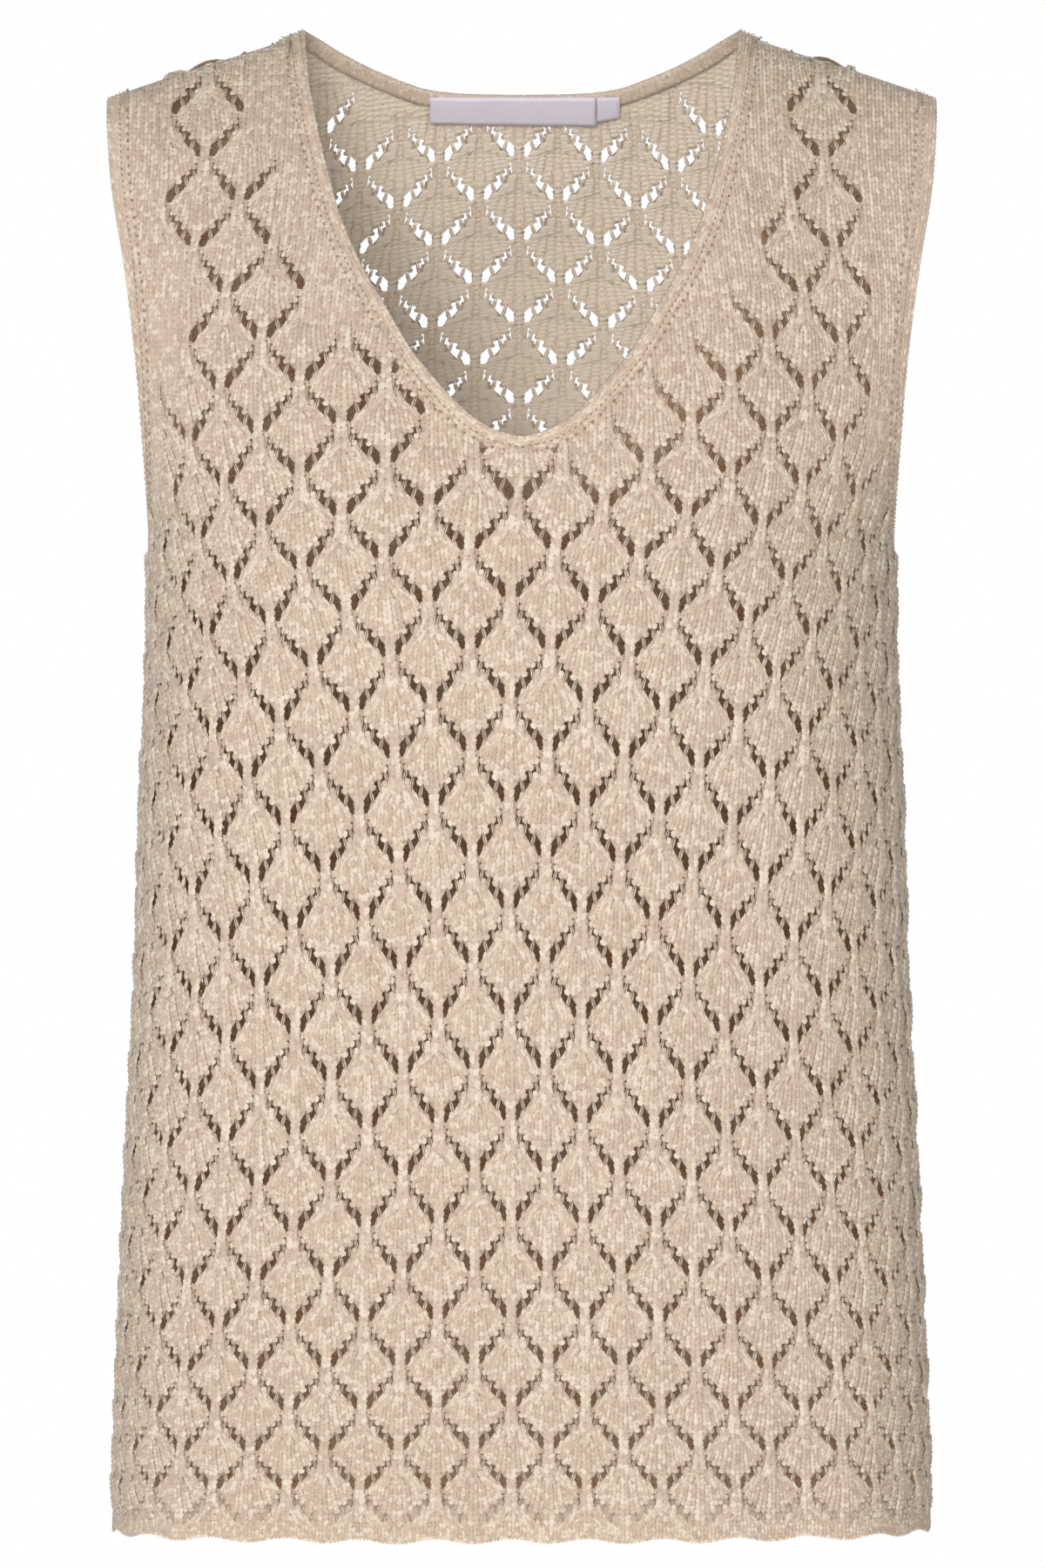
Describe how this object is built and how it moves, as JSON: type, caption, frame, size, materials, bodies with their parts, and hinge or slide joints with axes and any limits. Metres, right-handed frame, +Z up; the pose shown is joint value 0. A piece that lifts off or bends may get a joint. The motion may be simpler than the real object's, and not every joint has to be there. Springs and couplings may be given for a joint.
{
  "type": "sleeveless knit top",
  "caption": "Sleeveless V-neck pullover top in allover leaf lace knit, in its hollow worn form, with a plain neckband and armhole bands.",
  "frame": {"origin": "midway between the high points of the two shoulders, on the shoulder line, where a wearer's shoulders carry the top", "axes": "+Z up along the body, the front of the top faces -Y, +X is to the viewer's right when looking at the front"},
  "size_m": [0.3294, 0.2361, 0.594],
  "materials": {
    "lace_knit": "soft matt cotton yarn in leaf lace knit, slightly fuzzy, beige with pale flecks",
    "band_knit": "soft matt cotton yarn, narrow linked knit band",
    "label_satin": "smooth woven label ribbon, pale lavender white, blank"
  },
  "bodies": {
    "root": {"front_panel": "lace_knit", "back_panel": "lace_knit", "neckband": "band_knit", "armhole_band_left": "band_knit", "armhole_band_right": "band_knit", "neck_label": "label_satin", "size_tab": "label_satin"}
  },
  "joints": []
}
